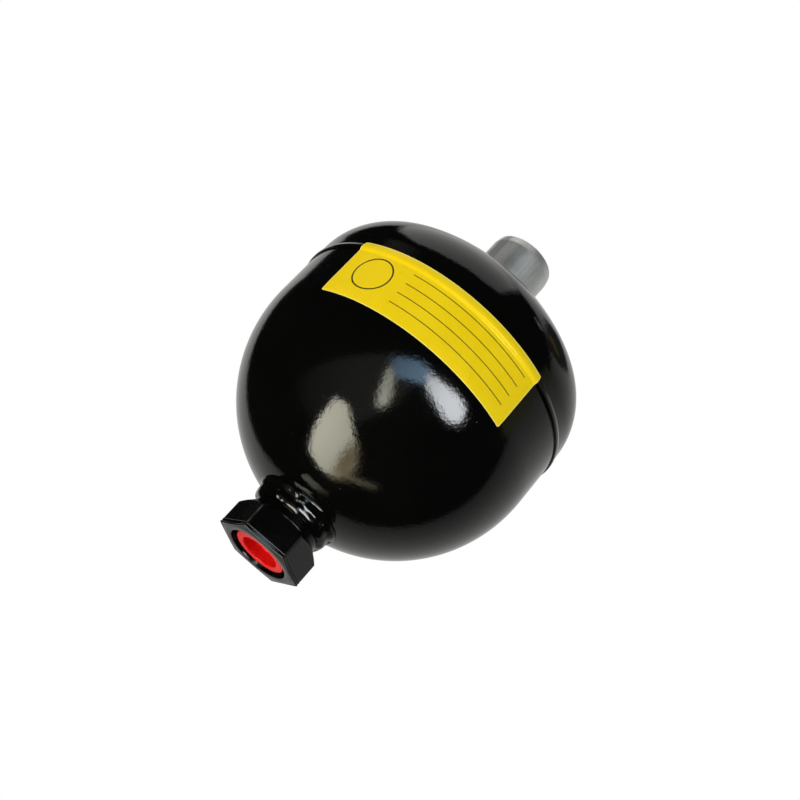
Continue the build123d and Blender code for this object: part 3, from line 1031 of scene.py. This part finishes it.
def label_radius(height, lift):
    """Distance of the film from the axis: over the dome, up the belt and over the lip."""
    if height < equator:
        return sqrt(shell_radius**2 - (equator - height) ** 2) + lift

    def eased(start, end):
        share = min(max((height - start) / (end - start), 0.0), 1.0)
        return share * share * (3 - 2 * share)

    lip_step = lip_radius - shell_radius
    leaves_belt = seam - 1.7
    lies_on_lip = seam + 0.5
    leaves_lip = lip_top - 0.3
    lies_on_shell = lip_foot_of_taper + 1.0
    rise = lip_step * eased(leaves_belt, lies_on_lip)
    fall = (lip_step - lip_taper_step) * eased(leaves_lip, lies_on_shell)
    return shell_radius + rise - fall + lift


def film_faces(columns, row_count):
    """Faces of a closed film, whose inner grid of vertices follows its outer one."""
    width = columns + 1
    layer = width * row_count
    last_row = layer - width
    faces = []
    for left in range(0, last_row, width):
        for corner in range(left, left + columns):
            above = corner + width
            faces.append((corner, corner + 1, above + 1, above))
            faces.append((layer + corner, layer + above, layer + above + 1, layer + corner + 1))
    for low in range(columns):
        high = last_row + low
        faces.append((low, layer + low, layer + low + 1, low + 1))
        faces.append((high, high + 1, layer + high + 1, layer + high))
    for left in range(0, last_row, width):
        right = left + columns
        faces.append((left, left + width, layer + left + width, layer + left))
        faces.append((right, layer + right, layer + right + width, right + width))
    return faces


def wrapped_label():
    """Film wrapped round the belt and pressed over the lip's edge, its corners just rounded."""
    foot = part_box("label")[0].z / MM
    middle = radians(label_angle)
    outer_lift = 0.2
    inner_lift = 0.03
    corner_radius = 0.6
    corner_rows = 8
    straight_rows = 96
    straight = label_height - 2 * corner_radius
    rows = [corner_radius * (1 - cos(pi / 2 * step / corner_rows)) for step in range(corner_rows)]
    rows += [corner_radius + straight * step / straight_rows for step in range(straight_rows + 1)]
    rows += [label_height - row for row in rows[corner_rows - 1::-1]]
    columns = 168
    vertices = []
    shares = []
    for lift in (outer_lift, inner_lift):
        for row in rows:
            from_edge = min(row, label_height - row)
            inset = 0.0
            if from_edge < corner_radius:
                inset = corner_radius - sqrt(corner_radius**2 - (corner_radius - from_edge) ** 2)
            half = label_length / 2 - inset
            radius = label_radius(foot + row, lift)
            for column in range(columns + 1):
                along = half * (2 * column / columns - 1)
                vertices.append(round_axis(middle + along / shell_radius, radius, foot + row))
                shares.append(((along + label_length / 2) / label_length, row / label_length))
    mesh = bpy.data.meshes.new("wrapped_label")
    mesh.from_pydata(vertices, [], film_faces(columns, len(rows)))
    film_map = mesh.uv_layers.new(name="Film")
    for loop in mesh.loops:
        film_map.data[loop.index].uv = shares[loop.vertex_index]
    piece = finished_mesh("wrapped_label", mesh, label_film, sharp_angle=50)
    return belongs(piece, "vessel", "label_film", "label")


wrapped_label()


# Diaphragm, a fixed piece here, though the real one rolls up with its button


def rubber_diaphragm():
    """Rubber cup with its clamped bead at the rim and its hub under the washer."""
    outer = inner_radius - 0.3
    inner = outer - 2.6
    stem_hole = 3.8
    hub_radius = 13.0
    hub_foot = hub_radius + 0.8
    hub_reach = hub_radius + 2
    hub_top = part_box("button_washer")[0].z / MM - 0.1
    bead_foot = ledge + 0.1
    bead_top = bead_foot + 5.0
    bead_outer = ledge_radius - 0.3
    bead_inner = bead_outer - 5.1
    outline = arc((0, equator), outer, -open_angle(outer, stem_hole), 0, 90)
    outline += rounded([
        (outer, bead_foot, 0), (bead_outer, bead_foot, 0.6), (bead_outer, bead_top, 0.6),
        (bead_inner, bead_top, 0.6), (bead_inner, bead_foot + 0.5, 0.4), (inner, bead_foot, 0),
    ])
    outline += arc((0, equator), inner, 0, -open_angle(inner, hub_reach), 80)
    outline += rounded([
        (hub_foot, sphere_height(inner, hub_foot), 0), (hub_radius - 0.4, hub_top, 0.5),
        (stem_hole, hub_top, 0),
    ])[1:]
    piece = turned("rubber_diaphragm", outline, diaphragm_rubber, around=160)
    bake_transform(piece)
    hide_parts("diaphragm")
    return piece


rubber_diaphragm()


# CAD nodes that stay, each in its own finish

kept_finishes = {
    "gas_boss_weld": weld_paint, "clamp_ring": inner_steel, "diaphragm_button": inner_steel,
    "button_washer": inner_steel, "valve_body": valve_brass, "core_barrel": valve_brass,
    "cap_nut": valve_brass, "valve_pin": pin_steel, "valve_body_seal": seal_rubber,
    "core_seal": seal_rubber, "pin_seal": seal_rubber, "cap_nut_seal": seal_rubber,
    "cap_gasket": seal_rubber,
}
for node_name, material in kept_finishes.items():
    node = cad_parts[node_name]
    if not node.material_slots:
        node.data.materials.append(material)
    for material_slot in node.material_slots:
        material_slot.material = material


# Floor


def pale_floor():
    """Pale floor that only shows from above, so that the camera may look up through it."""
    half = 3.0
    pale = (0.86, 0.86, 0.86, 1.0)
    corners = [(-half, -half, 0), (half, -half, 0), (half, half, 0), (-half, half, 0)]
    mesh = bpy.data.meshes.new("floor")
    mesh.from_pydata(corners, [], [(0, 1, 2, 3)])
    material = bpy.data.materials.new("pale floor")
    material.use_nodes = True
    tree = material.node_tree
    tree.nodes.clear()
    diffuse = add_node(tree, "ShaderNodeBsdfDiffuse", inputs={"Color": pale})
    clear = add_node(tree, "ShaderNodeBsdfTransparent")
    underside = add_node(tree, "ShaderNodeNewGeometry", "Backfacing")
    chosen = add_node(tree, "ShaderNodeMixShader", inputs={0: underside, 1: diffuse, 2: clear})
    output = tree.nodes.new("ShaderNodeOutputMaterial")
    tree.links.new(chosen, output.inputs["Surface"])
    mesh.materials.append(material)
    floor = bpy.data.objects.new("floor", mesh)
    bpy.context.scene.collection.objects.link(floor)
    floor.visible_glossy = False
    floor.visible_shadow = False


pale_floor()


# Lamps and world


def aim(azimuth, elevation):
    """Unit vector of a direction from the part, given in degrees."""
    across, up = radians(azimuth), radians(elevation)
    return Vector((cos(across) * cos(up), sin(across) * cos(up), sin(up)))


lamp_centre = Vector((0.0, 0.0, 0.095))
lamp_distance = 3.0
watts_per_square_metre = 4.0


def softbox(name, azimuth, elevation, width, height, level, colour):
    """Rectangular lamp facing the part; its mirror image is left to the world's panels."""
    light = bpy.data.lights.new(name, "AREA")
    light.shape = "RECTANGLE"
    light.size = width
    light.size_y = height
    light.energy = watts_per_square_metre * level * width * height
    light.color = colour
    lamp = bpy.data.objects.new(name, light)
    direction = aim(azimuth, elevation)
    facing = direction.to_track_quat("Z", "Y").to_matrix().to_4x4()
    lamp.matrix_world = Matrix.Translation(lamp_centre + direction * lamp_distance) @ facing
    lamp.visible_camera = False
    lamp.visible_glossy = False
    bpy.context.scene.collection.objects.link(lamp)


warm = (1.0, 0.93, 0.76)
daylight = (0.60, 0.79, 1.0)
neutral = (1.0, 0.99, 0.97)
softbox("window", azimuth=-125, elevation=-66, width=1.5, height=2.2, level=5.0, colour=warm)
softbox("door", azimuth=-62, elevation=0, width=2.4, height=0.8, level=2.2, colour=daylight)
softbox("overhead", azimuth=150, elevation=62, width=3.0, height=2.6, level=1.0, colour=neutral)

# What gloss and metal mirror: a white backdrop behind and above the part, and windows before it.
# Each panel lies over those listed before it. Its corners are directions from the part as
# (azimuth, elevation), its edges fade over softness degrees, and its level runs from dim to bright
# towards a direction.

Panel = namedtuple("Panel", "corners softness colour dim bright towards")

haze = Panel(
    corners=[
        (-178, -36), (-158, -26), (-136, -16), (-113, -2), (-90, 10), (-82, -14), (-95, -50),
        (-150, -62),
    ],
    softness=4.5, colour=(1.0, 1.0, 0.9), dim=0.01, bright=0.2, towards=(-95, -25),
)
backdrop = Panel(
    corners=[
        (-8, 51), (-10, 26), (21, -18), (48, -44), (80, -56), (116, -44), (133, 0), (138, 30),
        (144, 62),
    ],
    softness=2.5, colour=neutral, dim=0.14, bright=0.66, towards=(112, 36),
)
overhead = Panel(
    corners=[
        (-216, 49), (-190, 45), (-160, 41), (-133, 47), (-97, 52), (-72, 56), (-52, 66), (-35, 77),
        (30, 84), (70, 76), (100, 50),
    ],
    softness=2.0, colour=neutral, dim=0.62, bright=0.98, towards=(135, 50),
)
gap = Panel(
    corners=[(-12, 52), (15, 50), (45, 50), (72, 55), (66, 64), (35, 70), (5, 66)],
    softness=2.5, colour=neutral, dim=0.03, bright=0.05, towards=(0, 60),
)
ochre = Panel(
    corners=[(8, 58), (22, 56), (28, 64), (14, 66)],
    softness=2.0, colour=(1.0, 0.72, 0.22), dim=0.16, bright=0.28, towards=(20, 60),
)
pane = Panel(
    corners=[(-176, 22), (-176, 31), (-148, 31), (-148, 22)],
    softness=4.5, colour=neutral, dim=0.2, bright=0.24, towards=(-160, 20),
)
olive = Panel(
    corners=[(-17, 21), (-17, 34), (-6, 34), (-6, 21)],
    softness=2.0, colour=(1.0, 1.0, 0.55), dim=0.18, bright=0.2, towards=(-10, 20),
)
glint = Panel(
    corners=[(-16, 65), (-8, 63), (-4, 68), (-12, 71)],
    softness=1.2, colour=neutral, dim=0.6, bright=0.9, towards=(-10, 67),
)
window = Panel(
    corners=[
        (-131, -44), (-117, -45), (-103, -57), (-88, -65), (-45, -77), (60, -83), (130, -79),
        (165, -71), (-158, -62),
    ],
    softness=2.0, colour=(1.0, 0.97, 0.78), dim=5.5, bright=10.0, towards=(-160, -50),
)
shade = Panel(
    corners=[(-108, -58), (-92, -62), (-60, -72), (10, -80), (120, -79), (-130, -84), (-112, -72)],
    softness=5.0, colour=(1.0, 0.82, 0.46), dim=3.7, bright=2.2, towards=(-60, -65),
)
sill = Panel(
    corners=[(-14, -84), (-9, -63), (-1, -63), (12, -82)],
    softness=2.5, colour=(1.0, 0.88, 0.62), dim=2.4, bright=1.2, towards=(-5, -60),
)
streak = Panel(
    corners=[(-104, -8), (-99, -8), (-88, -27), (-90, -34), (-95, -35), (-101, -24)],
    softness=3.5, colour=(1.0, 0.98, 0.82), dim=7.5, bright=5.0, towards=(-100, 0),
)
sky = Panel(
    corners=[(-107, -3), (-100, 3), (-88, 8), (-79, 6), (-78, -3), (-88, -9), (-97, -13)],
    softness=3.0, colour=(0.44, 0.72, 1.0), dim=1.9, bright=4.6, towards=(-70, 0),
)
door = Panel(
    corners=[(-83, 5), (-69, 8), (-53, 10), (-44, 6), (-42, -2), (-50, -8), (-62, -7), (-76, -4)],
    softness=3.0, colour=(0.92, 0.96, 1.0), dim=8.0, bright=15.0, towards=(-52, 2),
)
panels = (
    haze, backdrop, overhead, gap, ochre, pane, olive, glint, window, shade, sill, streak, sky, door,
)


def studio_world():
    """White for the camera, a plain level for soft light, and the panels for gloss and metal."""
    dark_room = (0.006, 0.006, 0.006, 1.0)
    soft_white = (1.0, 0.995, 0.985, 1.0)
    soft_level = 0.62
    white = (1.0, 1.0, 1.0, 1.0)
    world = bpy.data.worlds.new("studio")
    bpy.context.scene.world = world
    world.use_nodes = True
    tree = world.node_tree
    tree.nodes.clear()

    def add(kind, output=0, inputs=None, **settings):
        return add_node(tree, kind, output, inputs, **settings)

    direction = add("ShaderNodeTexCoord", "Generated")

    def along(axis):
        return add("ShaderNodeVectorMath", "Value", {0: direction, 1: axis}, operation="DOT_PRODUCT")

    def ranged(value, low, high, to_low, to_high, kind="LINEAR"):
        return add("ShaderNodeMapRange", "Result", {
            "Value": value, "From Min": low, "From Max": high, "To Min": to_low, "To Max": to_high,
        }, interpolation_type=kind)

    def covered(points, softness):
        """One between the points and nought outside them, fading at the edges."""
        middle = sum(points, Vector())
        fade = radians(softness)
        mask = 1.0
        for first, second in zip(points, points[1:] + points[:1]):
            normal = first.cross(second).normalized()
            if normal.dot(middle) < 0:
                normal = -normal
            inside = ranged(along(normal), -fade, fade, 0.0, 1.0, "SMOOTHSTEP")
            mask = add("ShaderNodeMath", inputs={0: inside, 1: mask}, operation="MULTIPLY")
        return mask

    def laid(panel, below):
        """The panel over what is below it."""
        points = [aim(*corner) for corner in panel.corners]
        bearing = aim(*panel.towards)
        reach = [point.dot(bearing) for point in points]
        level = ranged(along(bearing), min(reach), max(reach), panel.dim, panel.bright)
        tint = add("ShaderNodeVectorMath", inputs={0: panel.colour, "Scale": level}, operation="SCALE")
        mask = covered(points, panel.softness)
        return add("ShaderNodeMix", 2, {"Factor": mask, 6: below, 7: tint}, data_type="RGBA")

    seen = dark_room
    for panel in panels:
        seen = laid(panel, seen)
    rays = add("ShaderNodeLightPath").node.outputs
    mirrored = add("ShaderNodeBackground", inputs={"Color": seen, "Strength": 1.0})
    soft = add("ShaderNodeBackground", inputs={"Color": soft_white, "Strength": soft_level})
    plain = add("ShaderNodeBackground", inputs={"Color": white, "Strength": 1.0})
    lit = add("ShaderNodeMixShader", inputs={0: rays["Is Glossy Ray"], 1: soft, 2: mirrored})
    clear = add("ShaderNodeMath", inputs={
        0: rays["Is Camera Ray"], 1: rays["Is Transmission Ray"],
    }, operation="MAXIMUM")
    shown = add("ShaderNodeMixShader", inputs={0: clear, 1: lit, 2: plain})
    output = tree.nodes.new("ShaderNodeOutputWorld")
    tree.links.new(shown, output.inputs["Surface"])


studio_world()
bpy.context.scene.view_settings.view_transform = "Standard"


# Camera, from the fit to the photograph's outline

picture_size = 800
focal_pixels = 1303.288
view_distance = 575.94
view_azimuth = -84.68
view_tilt = 24.99          # how far the eye is below the axis point, degrees
view_roll = 42.12
axis_height = 93.7         # the axis point that the camera is aimed by
axis_pixel = (395.951, 401.362)


def photo_camera():
    """Camera below and in front of the part, rolled as the photograph shows it."""
    across, down, roll = radians(view_azimuth), radians(view_tilt), radians(view_roll)
    away = Vector((cos(across) * cos(down), sin(across) * cos(down), -sin(down)))
    eye = Vector((0, 0, axis_height)) + away * view_distance
    forward = -away
    upright = Vector((0, 0, 1))
    up = (upright - forward * upright.dot(forward)).normalized()
    right = forward.cross(up)
    rolled_right = cos(roll) * right + sin(roll) * up
    rolled_up = -sin(roll) * right + cos(roll) * up
    rolled = Matrix((rolled_right, rolled_up, forward))
    centre = picture_size / 2
    ray = Vector(((axis_pixel[0] - centre) / focal_pixels, (centre - axis_pixel[1]) / focal_pixels, 1))
    rows = Vector((0, 0, 1)).rotation_difference(ray).to_matrix() @ rolled
    data = bpy.data.cameras.new("camera")
    data.sensor_width = 36.0
    data.lens = focal_pixels / picture_size * data.sensor_width
    data.clip_start = 0.01
    data.clip_end = 50.0
    camera = bpy.data.objects.new("camera", data)
    turn = Matrix((rows[0], rows[1], -rows[2])).transposed().to_4x4()
    camera.matrix_world = Matrix.Translation(eye * MM) @ turn
    bpy.context.scene.collection.objects.link(camera)
    bpy.context.scene.camera = camera


photo_camera()
